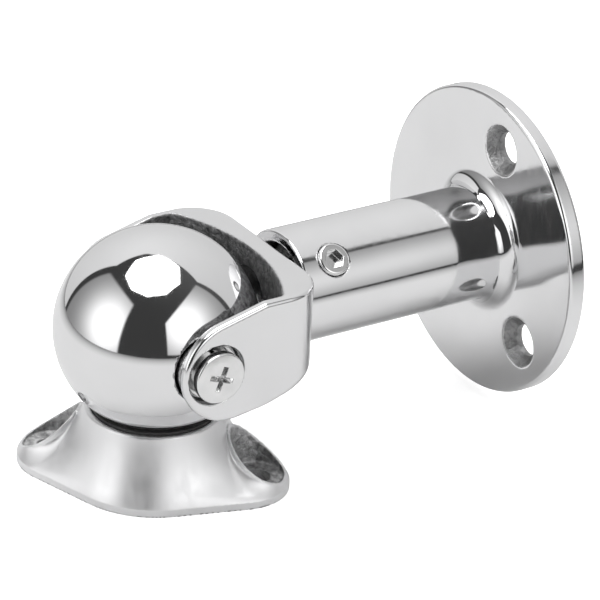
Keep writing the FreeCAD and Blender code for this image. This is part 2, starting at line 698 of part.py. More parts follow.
bodies = [item for item in doc.Objects if item.TypeId == "PartDesign::Body"]
for item in doc.Objects:
    if "Invalid" in item.State or "Error" in item.State:
        raise RuntimeError(f"{item.Label} did not build: {item.State}")
for body in bodies:
    if body.Shape.isNull() or not body.Shape.isValid() or len(body.Shape.Solids) != 1:
        raise RuntimeError(f"{body.Label} is not one valid solid")

os.makedirs("parts", exist_ok=True)
for body in bodies:
    body.Shape.exportStep(os.path.join("parts", body.Label + ".step"))
    box = body.Shape.BoundBox
    print(f"{body.Label}: {body.Shape.Volume / 1000:.2f} cm3, "
          f"x {box.XMin:.1f}..{box.XMax:.1f}, y {box.YMin:.1f}..{box.YMax:.1f}, "
          f"z {box.ZMin:.1f}..{box.ZMax:.1f}")
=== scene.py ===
import math

import bpy
import numpy as np
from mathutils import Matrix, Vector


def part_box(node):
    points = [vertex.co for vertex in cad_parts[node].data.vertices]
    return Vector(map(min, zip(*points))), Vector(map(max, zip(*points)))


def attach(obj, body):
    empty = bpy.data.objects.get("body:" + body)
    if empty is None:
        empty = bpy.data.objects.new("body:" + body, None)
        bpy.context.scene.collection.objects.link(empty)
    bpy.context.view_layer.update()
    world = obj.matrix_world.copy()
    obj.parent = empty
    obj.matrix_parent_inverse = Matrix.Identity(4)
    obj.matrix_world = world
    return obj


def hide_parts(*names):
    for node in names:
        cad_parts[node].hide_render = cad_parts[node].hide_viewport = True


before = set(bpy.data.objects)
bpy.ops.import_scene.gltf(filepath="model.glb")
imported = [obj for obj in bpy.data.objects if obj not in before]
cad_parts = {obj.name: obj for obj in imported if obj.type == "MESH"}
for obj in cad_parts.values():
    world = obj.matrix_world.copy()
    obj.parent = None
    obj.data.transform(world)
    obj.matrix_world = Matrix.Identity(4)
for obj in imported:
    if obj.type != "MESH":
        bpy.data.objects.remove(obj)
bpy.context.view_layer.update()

import openvdb
from mathutils import Matrix, Vector

# Looks of a swivelling stanchion base in polished stainless steel.
#
# Each visible casting and turned piece is carved as the surface where a distance
# function is zero: plain solids joined and cut with rounded edges, as a polisher leaves
# them.  Distances are in millimetres in the frame's axes; meshes are made in metres.
# Places come from the frame's boxes, so the pieces follow the CAD parts they replace.

MM = 0.001


def box_mm(node):
    """Lowest and highest corner of a CAD node, in millimetres."""
    low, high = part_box(node)
    return low / MM, high / MM


# Places read from the frame
ball_low, ball_high = box_mm("swivel_ball")
BALL_RADIUS = (ball_high.x - ball_low.x) / 2
PIVOT_Z = ball_high.z - BALL_RADIUS
tube_low, tube_high = box_mm("socket_tube")
TUBE_RADIUS = (tube_high.y - tube_low.y) / 2
TUBE_Z = (tube_high.z + tube_low.z) / 2
flange_low, flange_high = box_mm("flange_plate")
FLANGE_RADIUS = (flange_high.y - flange_low.y) / 2
yoke_low, yoke_high = box_mm("yoke")
base_low, base_high = box_mm("deck_base")
ROOT_END = flange_low.x
screw_low, _ = box_mm("pivot_screw_near")

# Shapes inside the pieces, in millimetres.  Most are the CAD part's; the base's flank and
# rim and the screws' cross follow the photograph more closely.
BASE_TURN = math.radians(-45)
BASE_HALF_WIDTH = 22.7
BASE_END_SPOT = 20.6
BASE_END_RADIUS = 13.1
BASE_EDGE = 2.6
NECK_RADIUS = 16.6
NECK_FOOT = 22.4
NECK_CURVE = 45.0
CUP_RADIUS = 15.2
CUP_FLOOR = 12.0
RECESS_RADIUS = 11.0
RECESS_TOP = 9.5
WELL_SPOT = 25.5
WELL_RADIUS = 6.6
WELL_LIP = 0.75
WELL_FLOOR = 3.2
WELL_FILLET = 0.5
WELL_FILLET_GAIN = 2.2
WELL_FILLET_SPAN = (4, 14)
DECK_HOLE = 3.3
SLOPE_START = (NECK_RADIUS, 18.3)
SLOPE_END = (33.7, 3.0)
SLOPE_CURVE = 38.0
BOLT_HOLE = 4.08
PIVOT_HOLE = 3.08
POCKET_RADIUS = 8.6
POCKET_FLOOR = 21.0
SWIVEL_THREAD_TOP = 31.0
YOKE_CORNER = 11.0
ARM_INNER = 24.9
WEB_CURVE = 50.0
WEB_INNER = 25.1
ARM_END_SPOT = 4.2
ARM_END_RADIUS = 12.8
ARM_SHOULDER = 13.0
HEEL_SPOT = (26.6, -5.6)
HEEL_CURVE = 4.0
YOKE_EDGE = 1.0
HEEL_START, HEEL_FULL = 12, 25
ARM_BOSS_RADIUS = 8.2
ARM_BOSS_END = 21.6
ARM_RECESS_FLOOR = 23.7
ARM_RECESS_RADIUS = 7.4
SINK_RADIUS = 7.4
SINK_START = 25.5
SINK_END = 28.8
BORE_RADIUS = 11.2
ROOT_CURVE = 4.2
ROOT_DEPTH = 0.5
ROOT_SINK = 0.03
ROOT_TRIM = 0.2
SET_SPOT = 42.3
SET_TURN = math.radians(45.5)
SET_HOLE = 4.08
SET_TIP = 11.22
SET_TOP = 14.95
SET_FLATS = 4.3
SET_SOCKET_DEPTH = 2.4
SET_PLAY = 0.08
SET_DISH_RISE = 5.0
SET_DISH_RADIUS = 5.35
FLANGE_CIRCLE = 28.0
FLANGE_HOLE = 4.0
FLANGE_SINK = 6.4
FLANGE_SINK_DEPTH = 2.6
FLANGE_HOLE_TURNS = [math.radians(104.5 + 120 * index) for index in range(3)]
PIVOT_THREAD_START = 10.6
PIVOT_SHANK = 3.0
PIVOT_FIT = 0.02
PIVOT_TIP_ROOM = 0.6
HEAD_RADIUS = 6.3
HEAD_LOW = 26.8
HEAD_CROWN = 34.0
CROSS_WIDTH = 1.35
CROSS_LENGTH = 6.6
CROSS_TURN = math.radians(-20)
CROSS_DEPTH = 2.2
CROSS_SIDE_LEAN = 0.12
CROSS_END_LEAN = 0.6


# Grid steps the pieces are carved at, in millimetres
CASTING_STEP = 0.4
BALL_STEP = 0.5
TURNED_STEP = 0.45
ROOT_STEP = 0.3
SET_SCREW_STEP = 0.15
CROSS_SCREW_STEP = 0.2


# Distance functions

def length(*parts):
    return np.sqrt(sum(part * part for part in parts))


def both(first, second, edge=0.0):
    """What two shapes share, with the edge between them rounded."""
    sharp = np.maximum(first, second)
    if np.ndim(edge) == 0 and edge == 0:
        return sharp
    corner = length(np.maximum(first + edge, 0), np.maximum(second + edge, 0))
    return np.minimum(-edge, sharp) + corner


def either(first, second, fillet=0.0):
    """Two shapes joined, with a fillet between them."""
    return -both(-first, -second, fillet)


def without(shape, cutter, edge=0.0):
    return both(shape, -cutter, edge)


def between(value, low, high):
    """A slab from low to high."""
    return np.maximum(low - value, value - high)


def ramp(value, low, high):
    """0 below low and 1 above high, smooth between."""
    share = np.clip((value - low) / (high - low), 0, 1)
    return share * share * (3 - 2 * share)


def half_plane(across, up, start, end):
    """Everything to the left of the line from start to end, in a plane."""
    run, rise = end[0] - start[0], end[1] - start[1]
    return ((across - start[0]) * rise - (up - start[1]) * run) / math.hypot(run, rise)


def hexagon(across, up, flats):
    """A hexagonal prism's section, given across its flats."""
    turns = [math.radians(60 * index + 30) for index in range(3)]
    sides = [np.abs(across * math.cos(turn) + up * math.sin(turn)) for turn in turns]
    return np.maximum.reduce(sides) - flats / 2


def carve(name, shape, low, high, step, raw_skin_and_shade=None):
    """A mesh object of the surface where shape(x, y, z) is zero, with the shape's own
    slope as its normals.  The last argument gives 0 where the skin is polished and 1 where
    it is raw; the steel makes raw skin rougher and paints it darker as shade in the hollows."""
    start = np.array(low, float) - 2 * step
    counts = [math.ceil(size / step) + 4 for size in np.array(high, float) - np.array(low, float)]
    grid = np.meshgrid(*[start[axis] + step * np.arange(counts[axis]) for axis in range(3)],
                       indexing="ij")
    field = np.clip(shape(*grid), -3 * step, 3 * step).astype(np.float32)
    volume = openvdb.FloatGrid(3 * step)
    volume.copyFromArray(field)
    points, _, quads = volume.convertToPolygons(isovalue=0.0, adaptivity=0.0)
    points = start + points.astype(float) * step
    for _ in range(3):
        value, slope = shape(*points.T), slope_of(shape, points)
        size = np.maximum(length(*slope.T), 0.3)
        move = np.clip(value / size, -0.5 * step, 0.5 * step)
        points -= slope / size[:, None] * move[:, None]
    slope = slope_of(shape, points)
    normals = slope / np.maximum(length(*slope.T), 1e-6)[:, None]
    corners = points[quads[:, :3]]
    facing = np.cross(corners[:, 1] - corners[:, 0], corners[:, 2] - corners[:, 0])
    if (facing * normals[quads[:, 0]]).sum() < 0:
        quads = quads[:, ::-1]
    mesh = bpy.data.meshes.new(name)
    mesh.from_pydata((points * MM).tolist(), [], quads.tolist())
    mesh.shade_smooth()
    mesh.normals_split_custom_set_from_vertices(normals.tolist())
    if raw_skin_and_shade:
        # The attribute marks raw skin, which the steel makes rougher and paints darker as shade.
        layer = mesh.attributes.new("raw_skin_and_shade", "FLOAT", "POINT")
        layer.data.foreach_set("value", raw_skin_and_shade(*points.T).astype(np.float32))
    piece = bpy.data.objects.new(name, mesh)
    bpy.context.scene.collection.objects.link(piece)
    return piece


def slope_of(shape, points, reach=0.01):
    """Gradient of a distance function at some points."""
    slopes = []
    for axis in range(3):
        shift = np.zeros(3)
        shift[axis] = reach
        slopes.append((shape(*(points + shift).T) - shape(*(points - shift).T)) / (2 * reach))
    return np.stack(slopes, axis=1)


def settle(piece, body, nodes, material):
    """Put a finished piece on its body in place of CAD nodes."""
    piece.data.materials.append(material)
    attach(piece, body)
    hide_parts(*nodes)


# The pieces' shapes

def base_axes(x, y):
    """Distance along the base's long axis and across it."""
    along = x * math.cos(BASE_TURN) + y * math.sin(BASE_TURN)
    across = -x * math.sin(BASE_TURN) + y * math.cos(BASE_TURN)
    return np.abs(along), np.abs(across)


def diamond(along, across):
    """The base's plan: a wide disc and a smaller one at each end, with flat sides."""
    lean = (BASE_HALF_WIDTH - BASE_END_RADIUS) / BASE_END_SPOT
    rise = math.sqrt(1 - lean * lean)
    reach = along * rise - across * lean
    side = across * rise + along * lean - BASE_HALF_WIDTH
    end = length(across, along - BASE_END_SPOT) - BASE_END_RADIUS
    middle = length(across, along) - BASE_HALF_WIDTH
    return np.where(reach < 0, middle, np.where(reach > rise * BASE_END_SPOT, end, side))


def arc_centre(start, end, radius):
    """Centre of the arc from start to end that hollows the slope below it."""
    run, rise = end[0] - start[0], end[1] - start[1]
    chord = math.hypot(run, rise)
    reach = math.sqrt(radius ** 2 - (chord / 2) ** 2) / chord
    return (start[0] + end[0]) / 2 - rise * reach, (start[1] + end[1]) / 2 + run * reach


def base_shape(x, y, z):
    along, across = base_axes(x, y)
    radius = length(x, y)
    plan = diamond(along, across)
    centre = arc_centre((NECK_RADIUS, base_high.z), (NECK_FOOT, BASE_EDGE), NECK_CURVE)
    waist = centre[0] - np.sqrt(np.maximum(NECK_CURVE ** 2 - (z - centre[1]) ** 2, 1))
    share = np.clip((BASE_HALF_WIDTH - waist) / (BASE_HALF_WIDTH - NECK_RADIUS), 0, 1.1)
    flank = (1 - share) * plan + share * (radius - NECK_RADIUS)
    spot = arc_centre(SLOPE_START, SLOPE_END, SLOPE_CURVE)
    slope = SLOPE_CURVE - length(along - spot[0], z - spot[1])
    well = length(along - WELL_SPOT, across)
    fillet = WELL_FILLET + WELL_FILLET_GAIN * (1 - ramp(z, *WELL_FILLET_SPAN))
    body = either(flank, well - WELL_RADIUS - WELL_LIP, fillet)
    body = both(body, slope, 0.2)
    body = both(body, z - base_high.z, 0.35)
    body = both(body, plan, 1.6)
    body = both(body, -z, 0.15)
    body = without(body, both(well - WELL_RADIUS, WELL_FLOOR - z, 0.6), 0.3)
    body = without(body, well - DECK_HOLE, 0.2)
    cup = both(radius - CUP_RADIUS, CUP_FLOOR - z)
    recess = both(radius - RECESS_RADIUS, z - RECESS_TOP, 0.8)
    hollow = np.minimum(np.minimum(cup, recess), radius - BOLT_HOLE)
    return without(body, hollow, 0.3)


# Raw skin in the wells, the cup and underneath, which the steel paints darker as shade in these
# hollows.
def base_raw_and_shade(x, y, z):
    along, across = base_axes(x, y)
    well = 1 - ramp(length(along - WELL_SPOT, across), WELL_RADIUS, WELL_RADIUS + 0.3)
    cup = 1 - ramp(length(x, y), CUP_RADIUS, CUP_RADIUS + 0.2)
    return np.maximum.reduce([well, cup, 1 - ramp(z, 0.05, 0.25)])


def ball_shape(x, y, z):
    up = z - PIVOT_Z
    ball = length(x, y, up) - BALL_RADIUS
    pocket = both(length(x, up) - POCKET_RADIUS, POCKET_FLOOR - np.abs(y), 0.3)
    thread = both(length(x, y) - BOLT_HOLE, z - SWIVEL_THREAD_TOP)
    pivot = length(x, up) - PIVOT_SHANK - PIVOT_FIT
    pivot = both(pivot, PIVOT_THREAD_START - PIVOT_TIP_ROOM - np.abs(y))
    return without(without(ball, np.minimum(pocket, pivot), 0.35), thread, 0.2)


# Raw skin in the pockets the yoke's bosses sit in, painted darker as shade between ball and arms.
def ball_raw_and_shade(x, y, z):
    return 1 - ramp(length(x, z - PIVOT_Z), POCKET_RADIUS, POCKET_RADIUS + 0.4)


def yoke_side(x, up):
    """The yoke seen from the side: a round end about the pivot, running to a level top
    and to a bottom that rises towards the web."""
    top = yoke_high.z - PIVOT_Z
    end = length(x - ARM_END_SPOT, up) - ARM_END_RADIUS
    across, rise = ARM_SHOULDER - ARM_END_SPOT, top
    high = math.atan2(rise, across) + math.acos(ARM_END_RADIUS / math.hypot(across, rise))
    across, rise = HEEL_SPOT[0] - ARM_END_SPOT, HEEL_SPOT[1]
    low = math.atan2(rise, across) - math.acos((ARM_END_RADIUS - HEEL_CURVE)
                                               / math.hypot(across, rise))
    high_point, low_point = ((ARM_END_SPOT + ARM_END_RADIUS * math.cos(turn),
                              ARM_END_RADIUS * math.sin(turn)) for turn in (high, low))
    slope, bottom = ((x - ARM_END_SPOT) * math.cos(turn) + up * math.sin(turn) - ARM_END_RADIUS
                     for turn in (high, low))
    chord = half_plane(x, up, high_point, low_point)
    return np.minimum(end, np.maximum.reduce([up - top, slope, bottom, chord]))


def yoke_hollow(x, y):
    """The space inside the yoke that the ball turns in."""
    web = length(x - WEB_INNER + WEB_CURVE, y) - WEB_CURVE
    return both(np.abs(y) - ARM_INNER, web, 0.7)


def yoke_shape(x, y, z):
    up, out = z - PIVOT_Z, np.abs(y)
    beyond = [x - yoke_high.x + YOKE_CORNER, out - yoke_high.y + YOKE_CORNER]
    plan = (length(*[np.maximum(part, 0) for part in beyond])
            + np.minimum(np.maximum(*beyond), 0) - YOKE_CORNER)
    heel = ramp(x, HEEL_START, HEEL_FULL) * ramp(-up, 0, HEEL_CURVE)
    edge = YOKE_EDGE + (HEEL_CURVE - YOKE_EDGE) * heel
    body = both(plan, yoke_side(x, up), edge)
    body = without(body, yoke_hollow(x, y), 0.5)
    swivel = length(x, up)
    boss = both(swivel - ARM_BOSS_RADIUS, between(out, ARM_BOSS_END, ARM_INNER + 1), 0.3)
    body = either(body, boss, 0.4)
    recess = both(swivel - ARM_RECESS_RADIUS, ARM_RECESS_FLOOR - out, 0.3)
    recess = np.minimum(recess, both(swivel - PIVOT_HOLE, ARM_BOSS_END - 1 - out))
    body = without(body, recess, 0.35)
    bore = length(y, z - TUBE_Z)
    cone = half_plane(bore, x, (SINK_RADIUS, SINK_START), (BOLT_HOLE, SINK_END))
    sink = both(cone, bore - SINK_RADIUS)
    sink = both(np.minimum(sink, bore - BOLT_HOLE), BOLT_HOLE - x)
    return without(body, sink, 0.2)


# Raw skin on the yoke's inner faces and, a quarter as strong, in the arm recesses, painted darker
# as shade round the ball and the screw heads.
def yoke_raw_and_shade(x, y, z):
    inner = 1 - ramp(np.abs(yoke_hollow(x, y)), 0.15, 0.5)
    recess = length(x, z - PIVOT_Z)
    recess = (1 - ramp(recess, ARM_RECESS_RADIUS, ARM_RECESS_RADIUS + 0.3)) * (x < 15)
    return np.maximum(inner, 0.25 * recess)


def set_axes(x, y, z):
    """Along the set screw's axis from the tube's axis, and across it twice."""
    over = z - TUBE_Z
    out = over * math.cos(SET_TURN) - y * math.sin(SET_TURN)
    side = over * math.sin(SET_TURN) + y * math.cos(SET_TURN)
    return out, x - SET_SPOT, side


def tube_shape(x, y, z):
    radius = length(y, z - TUBE_Z)
    tube = both(radius - TUBE_RADIUS, between(x, tube_low.x, tube_high.x), 0.6)
    tube = without(tube, radius - BORE_RADIUS, 0.9)
    out, side, over = set_axes(x, y, z)
    hole = both(length(side, over) - SET_HOLE, -out)
    return without(tube, hole, 0.35)


# Raw skin in the bore, painted darker as the shade inside the tube.
def tube_raw_and_shade(x, y, z):
    return 1 - ramp(length(y, z - TUBE_Z), BORE_RADIUS + 0.1, BORE_RADIUS + 0.5)


def set_screw_shape(x, y, z):
    out, side, over = set_axes(x, y, z)
    radius = length(side, over)
    screw = both(radius - SET_HOLE + SET_PLAY, between(out, SET_TIP, SET_TOP), 0.6)
    dish = length(radius, out - SET_TOP - SET_DISH_RISE) - SET_DISH_RADIUS
    screw = without(screw, dish, 0.25)
    socket = both(hexagon(side, over, SET_FLATS), SET_TOP - SET_SOCKET_DEPTH - out)
    return without(screw, socket, 0.12)


def weld_shape(x, y, z):
    """A cove from the tube out onto the flange, rooted a little way inside both."""
    radius = length(y, z - TUBE_Z)
    cove = either(radius - TUBE_RADIUS + ROOT_SINK, ROOT_END - x, ROOT_CURVE)
    cove = both(cove, between(x, ROOT_END - ROOT_CURVE, ROOT_END + ROOT_DEPTH))
    outer = TUBE_RADIUS + ROOT_CURVE - ROOT_TRIM
    return both(cove, between(radius, TUBE_RADIUS - ROOT_DEPTH, outer))


def flange_shape(x, y, z):
    over = z - TUBE_Z
    plate = both(length(y, over) - FLANGE_RADIUS, between(x, flange_low.x, flange_high.x), 0.8)
    holes = []
    for turn in FLANGE_HOLE_TURNS:
        spot = FLANGE_CIRCLE * math.cos(turn), FLANGE_CIRCLE * math.sin(turn)
        radius = length(y - spot[0], over - spot[1])
        cone = half_plane(radius, x, (FLANGE_SINK, flange_low.x),
                          (FLANGE_HOLE, flange_low.x + FLANGE_SINK_DEPTH))
        holes.append(np.minimum(cone, radius - FLANGE_HOLE))
    return without(plate, np.minimum.reduce(holes), 0.35)


# Raw skin in and round the countersunk holes, painted darker as shade in the countersinks.
def flange_raw_and_shade(x, y, z):
    over = z - TUBE_Z
    near = np.minimum.reduce([
        length(y - FLANGE_CIRCLE * math.cos(turn), over - FLANGE_CIRCLE * math.sin(turn))
        for turn in FLANGE_HOLE_TURNS])
    return 0.8 * (1 - ramp(near, FLANGE_SINK - 0.3, FLANGE_SINK + 0.1))


def cross_screw(side):
    """Distance function of the cross-recess pan screw on one side of the ball."""
    top = -screw_low.y

    def shape(x, y, z):
        out, up = y * side, z - PIVOT_Z
        radius = length(x, up)
        head = both(radius - HEAD_RADIUS, between(out, HEAD_LOW, top), 0.4)
        crown = length(radius, out - top + HEAD_CROWN) - HEAD_CROWN
        head = both(head, crown, 0.3)
        shank = both(radius - PIVOT_SHANK, between(out, PIVOT_THREAD_START, top - 1), 0.4)
        first = x * math.cos(CROSS_TURN) + up * math.sin(CROSS_TURN)
        second = -x * math.sin(CROSS_TURN) + up * math.cos(CROSS_TURN)
        depth = top - out
        wings = [both(np.abs(wide) - CROSS_WIDTH / 2 + CROSS_SIDE_LEAN * depth,
                      np.abs(long) - CROSS_LENGTH / 2 + CROSS_END_LEAN * depth)
                 for wide, long in ((first, second), (second, first))]
        cross = both(either(*wings, 0.25), depth - CROSS_DEPTH)
        return without(either(head, shank, 0.2), cross, 0.12)

    return shape


# Materials

def new_material(name):
    material = bpy.data.materials.new(name)
    material.use_nodes = True
    tree = material.node_tree
    return material, tree, tree.nodes["Principled BSDF"]


def link_in(tree, socket, value):
    if isinstance(value, bpy.types.NodeSocket):
        tree.links.new(value, socket)
    elif value is not None:
        socket.default_value = value


def maths(tree, operation, *values, clamp=False):
    node = tree.nodes.new("ShaderNodeMath")
    node.operation = operation
    node.use_clamp = clamp
    for socket, value in zip(node.inputs, values):
        link_in(tree, socket, value)
    return node.outputs[0]


def noise(tree, scale, detail=2.0, stretch=(1, 1, 1), distortion=0.0):
    """Noise over the piece's own axes, scale in cycles per metre."""
    place = tree.nodes.new("ShaderNodeTexCoord")
    mapping = tree.nodes.new("ShaderNodeMapping")
    mapping.inputs["Scale"].default_value = stretch
    tree.links.new(place.outputs["Object"], mapping.inputs["Vector"])
    node = tree.nodes.new("ShaderNodeTexNoise")
    node.inputs["Scale"].default_value = scale
    node.inputs["Detail"].default_value = detail
    node.inputs["Distortion"].default_value = distortion
    tree.links.new(mapping.outputs["Vector"], node.inputs["Vector"])
    return node.outputs["Fac"]


def spread(tree, value, low, high, start=0.3, end=0.7):
    """Map a value from start..end to low..high."""
    node = tree.nodes.new("ShaderNodeMapRange")
    for name, amount in (("From Min", start), ("From Max", end), ("To Min", low),
                         ("To Max", high)):
        link_in(tree, node.inputs[name], amount)
    tree.links.new(value, node.inputs["Value"])
    return node.outputs["Result"]


def mix_numbers(tree, share, first, second):
    node = tree.nodes.new("ShaderNodeMix")
    node.data_type = "FLOAT"
    link_in(tree, node.inputs["Factor"], share)
    link_in(tree, node.inputs["A"], first)
    link_in(tree, node.inputs["B"], second)
    return node.outputs["Result"]


def grey(tree, level, warmth=1.0):
    """A near-neutral colour from a level."""
    node = tree.nodes.new("ShaderNodeCombineColor")
    tree.links.new(level, node.inputs["Red"])
    tree.links.new(level, node.inputs["Green"])
    tree.links.new(maths(tree, "MULTIPLY", level, warmth), node.inputs["Blue"])
    return node.outputs["Color"]


def bump(tree, height, distance, strength, below=None):
    node = tree.nodes.new("ShaderNodeBump")
    node.inputs["Distance"].default_value = distance
    link_in(tree, node.inputs["Strength"], strength)
    tree.links.new(height, node.inputs["Height"])
    if below:
        tree.links.new(below, node.inputs["Normal"])
    return node.outputs["Normal"]


def steel(name, level, rough, waves, raw_shade_level=0.2, cast_rough=0.5, smears=0.45):
    """Polished stainless steel, with raw skin where the mesh's attribute is 1: rougher there,
    and painted darker as shade in the hollows.
    waves is the depth of the polisher's unevenness in millimetres, and smears the share by
    which the roughness varies."""
    material, tree, shader = new_material(name)
    shader.inputs["Metallic"].default_value = 1.0
    raw_skin_and_shade = tree.nodes.new("ShaderNodeAttribute")
    raw_skin_and_shade.attribute_name = "raw_skin_and_shade"
    raw_skin_and_shade = raw_skin_and_shade.outputs["Fac"]
    cloud = noise(tree, 60, 3.0)
    swell = noise(tree, 32, 0.0, (1, 1, 1), 0.5)
    smear = noise(tree, 420, 4.0, (1, 1, 0.35), 0.6)
    grain = noise(tree, 1500, 5.0)
    pits = noise(tree, 620, 3.0, (1, 1, 1), 0.4)
    bright = spread(tree, cloud, level - 0.02, level + 0.02)
    # Raw skin drops to a dull grey: painted shade in the hollows, beside its real roughness.
    dull_painted_shade = spread(tree, pits, 0.55 * raw_shade_level, 1.5 * raw_shade_level)
    tree.links.new(grey(tree, mix_numbers(tree, raw_skin_and_shade, bright, dull_painted_shade), 1.008),
                   shader.inputs["Base Color"])
    polish = maths(tree, "ADD", spread(tree, smear, (1 - smears) * rough, (1 + smears) * rough),
                   spread(tree, cloud, 0.0, smears * rough))
    raw = spread(tree, grain, 0.8 * cast_rough, 1.3 * cast_rough)
    tree.links.new(mix_numbers(tree, raw_skin_and_shade, polish, raw), shader.inputs["Roughness"])
    flow = bump(tree, swell, waves * MM, 1.0)
    skin = maths(tree, "ADD", grain, maths(tree, "MULTIPLY", pits, 1.6))
    tree.links.new(bump(tree, skin, 0.25 * MM, raw_skin_and_shade, flow), shader.inputs["Normal"])
    return material


def raw_steel(name, level, rough, depth):
    """Bead-blasted or as-cast steel."""
    material, tree, shader = new_material(name)
    shader.inputs["Metallic"].default_value = 1.0
    grain, pits = noise(tree, 1600, 5.0), noise(tree, 500, 3.0)
    tree.links.new(grey(tree, spread(tree, pits, 0.7 * level, 1.3 * level)),
                   shader.inputs["Base Color"])
    tree.links.new(spread(tree, grain, 0.8 * rough, 1.2 * rough), shader.inputs["Roughness"])
    skin = maths(tree, "ADD", grain, pits)
    tree.links.new(bump(tree, skin, depth * MM, 0.8), shader.inputs["Normal"])
    return material


def turned_steel(name, level, rough):
    """Fastener steel with faint turning marks."""
    material, tree, shader = new_material(name)
    shader.inputs["Metallic"].default_value = 1.0
    marks = noise(tree, 900, 4.0, (1, 0.15, 1))
    cloud = noise(tree, 240, 2.0)
    tree.links.new(grey(tree, spread(tree, cloud, level - 0.05, level + 0.04)),
                   shader.inputs["Base Color"])
    tree.links.new(spread(tree, marks, 0.7 * rough, 1.5 * rough), shader.inputs["Roughness"])
    tree.links.new(bump(tree, marks, 0.02 * MM, 0.6), shader.inputs["Normal"])
    return material


# Black nylon for the seat ring and washers; its black also stands in for the shade in the gaps
# between the moving parts.
def nylon(name):
    material, tree, shader = new_material(name)
    grain, cloud = noise(tree, 1400, 4.0), noise(tree, 200, 2.0)
    tree.links.new(grey(tree, spread(tree, cloud, 0.03, 0.055)), shader.inputs["Base Color"])
    tree.links.new(spread(tree, grain, 0.38, 0.56), shader.inputs["Roughness"])
    tree.links.new(bump(tree, grain, 0.04 * MM, 0.5), shader.inputs["Normal"])
    return material


# Stage: camera, floor and studio, in metres

CAMERA_PLACE = (-0.37962, -0.62328, 0.41439)
CAMERA_AZIMUTH = math.radians(-33.96)
CAMERA_ELEVATION = math.radians(26.67)
CAMERA_ROLL = math.radians(2.99)
CAMERA_LENS = 208.945
TABLE_RADIUS = 0.37
TABLE_LEVEL = 0.62
TABLE_DROP = 0.0002
FLOOR_LEVEL = 0.86
FLOOR_GLOW = 0.6
DISC_SIDES = 96
ROOM_RADIUS = 8.0
SOFT_BOX_REACH = 0.51
SOFT_BOX_SHIFT = 0.12
SOFT_BOX_LIGHT = 5.0


def make_camera():
    data = bpy.data.cameras.new("camera")
    data.lens = CAMERA_LENS
    data.sensor_width = 36.0
    camera = bpy.data.objects.new("camera", data)
    camera.matrix_world = (Matrix.Translation(CAMERA_PLACE)
                           @ Matrix.Rotation(CAMERA_AZIMUTH, 4, "Z")
                           @ Matrix.Rotation(math.pi / 2 - CAMERA_ELEVATION, 4, "X")
                           @ Matrix.Rotation(CAMERA_ROLL, 4, "Z"))
    bpy.context.scene.collection.objects.link(camera)
    bpy.context.scene.camera = camera


def make_floor():
    """A pale floor, and just under it a round table top that only the steel mirrors, its colour
    painted darker towards the edge as falloff of light.
    """
    floor_look, tree, shader = new_material("pale_floor")
    shader.inputs["Base Color"].default_value = (FLOOR_LEVEL, FLOOR_LEVEL, FLOOR_LEVEL, 1)
    shader.inputs["Roughness"].default_value = 0.9
    shader.inputs["Specular IOR Level"].default_value = 0.1
    shader.inputs["Emission Color"].default_value = (1, 1, 1, 1)
    shader.inputs["Emission Strength"].default_value = FLOOR_GLOW
    table_look, tree, shader = new_material("table_top")
    place = tree.nodes.new("ShaderNodeTexCoord")
    reach = tree.nodes.new("ShaderNodeVectorMath")
    reach.operation = "LENGTH"
    tree.links.new(place.outputs["Object"], reach.inputs[0])
    # The table's colour fades darker towards its rim: painted falloff of light.
    painted_falloff = spread(tree, reach.outputs["Value"], TABLE_LEVEL, 0.25 * TABLE_LEVEL,
                  0.45 * TABLE_RADIUS, TABLE_RADIUS)
    tree.links.new(grey(tree, painted_falloff), shader.inputs["Base Color"])
    shader.inputs["Roughness"].default_value = 0.9
    shader.inputs["Specular IOR Level"].default_value = 0.0
    for name, radius, drop, look in (("floor", ROOM_RADIUS, 0.0, floor_look),
                                     ("table", TABLE_RADIUS, TABLE_DROP, table_look)):
        turns = [2 * math.pi * index / DISC_SIDES for index in range(DISC_SIDES)]
        mesh = bpy.data.meshes.new(name)
        mesh.from_pydata([(radius * math.cos(turn), radius * math.sin(turn), -drop)
                          for turn in turns], [], [tuple(range(DISC_SIDES))])
        mesh.materials.append(look)
        disc = bpy.data.objects.new(name, mesh)
        disc.visible_glossy, disc.visible_camera = drop > 0, drop == 0
        disc.visible_diffuse = disc.visible_shadow = False
        bpy.context.scene.collection.objects.link(disc)


def facing(tree, direction, spot):
    """Cosine of the angle between a direction and a fixed one."""
    node = tree.nodes.new("ShaderNodeVectorMath")
    node.operation = "DOT_PRODUCT"
    tree.links.new(direction, node.inputs[0])
    node.inputs[1].default_value = spot
    return node.outputs["Value"]


def panel(tree, direction, corners, softness):
    """1 inside the convex part of the sky that has these corners, 0 outside."""
    corners = [Vector(corner) for corner in corners]
    middle = sum(corners, Vector())
    share = 1.0
    for first, second in zip(corners, corners[1:] + corners[:1]):
        side = first.cross(second).normalized()
        side = side if side.dot(middle) > 0 else -side
        node = tree.nodes.new("ShaderNodeMapRange")
        node.interpolation_type = "SMOOTHSTEP"
        node.inputs["From Min"].default_value = -softness
        node.inputs["From Max"].default_value = softness
        tree.links.new(facing(tree, direction, side), node.inputs["Value"])
        share = maths(tree, "MULTIPLY", node.outputs["Result"], share)
    return share


def glow(tree, direction, spot, low, peak, width):
    """Brightness that falls off round a hot spot."""
    near = facing(tree, direction, Vector(spot).normalized())
    fall = maths(tree, "EXPONENT", maths(tree, "DIVIDE", maths(tree, "SUBTRACT", near, 1.0),
                                         1 - math.cos(width)))
    return maths(tree, "ADD", maths(tree, "MULTIPLY", fall, peak), low)


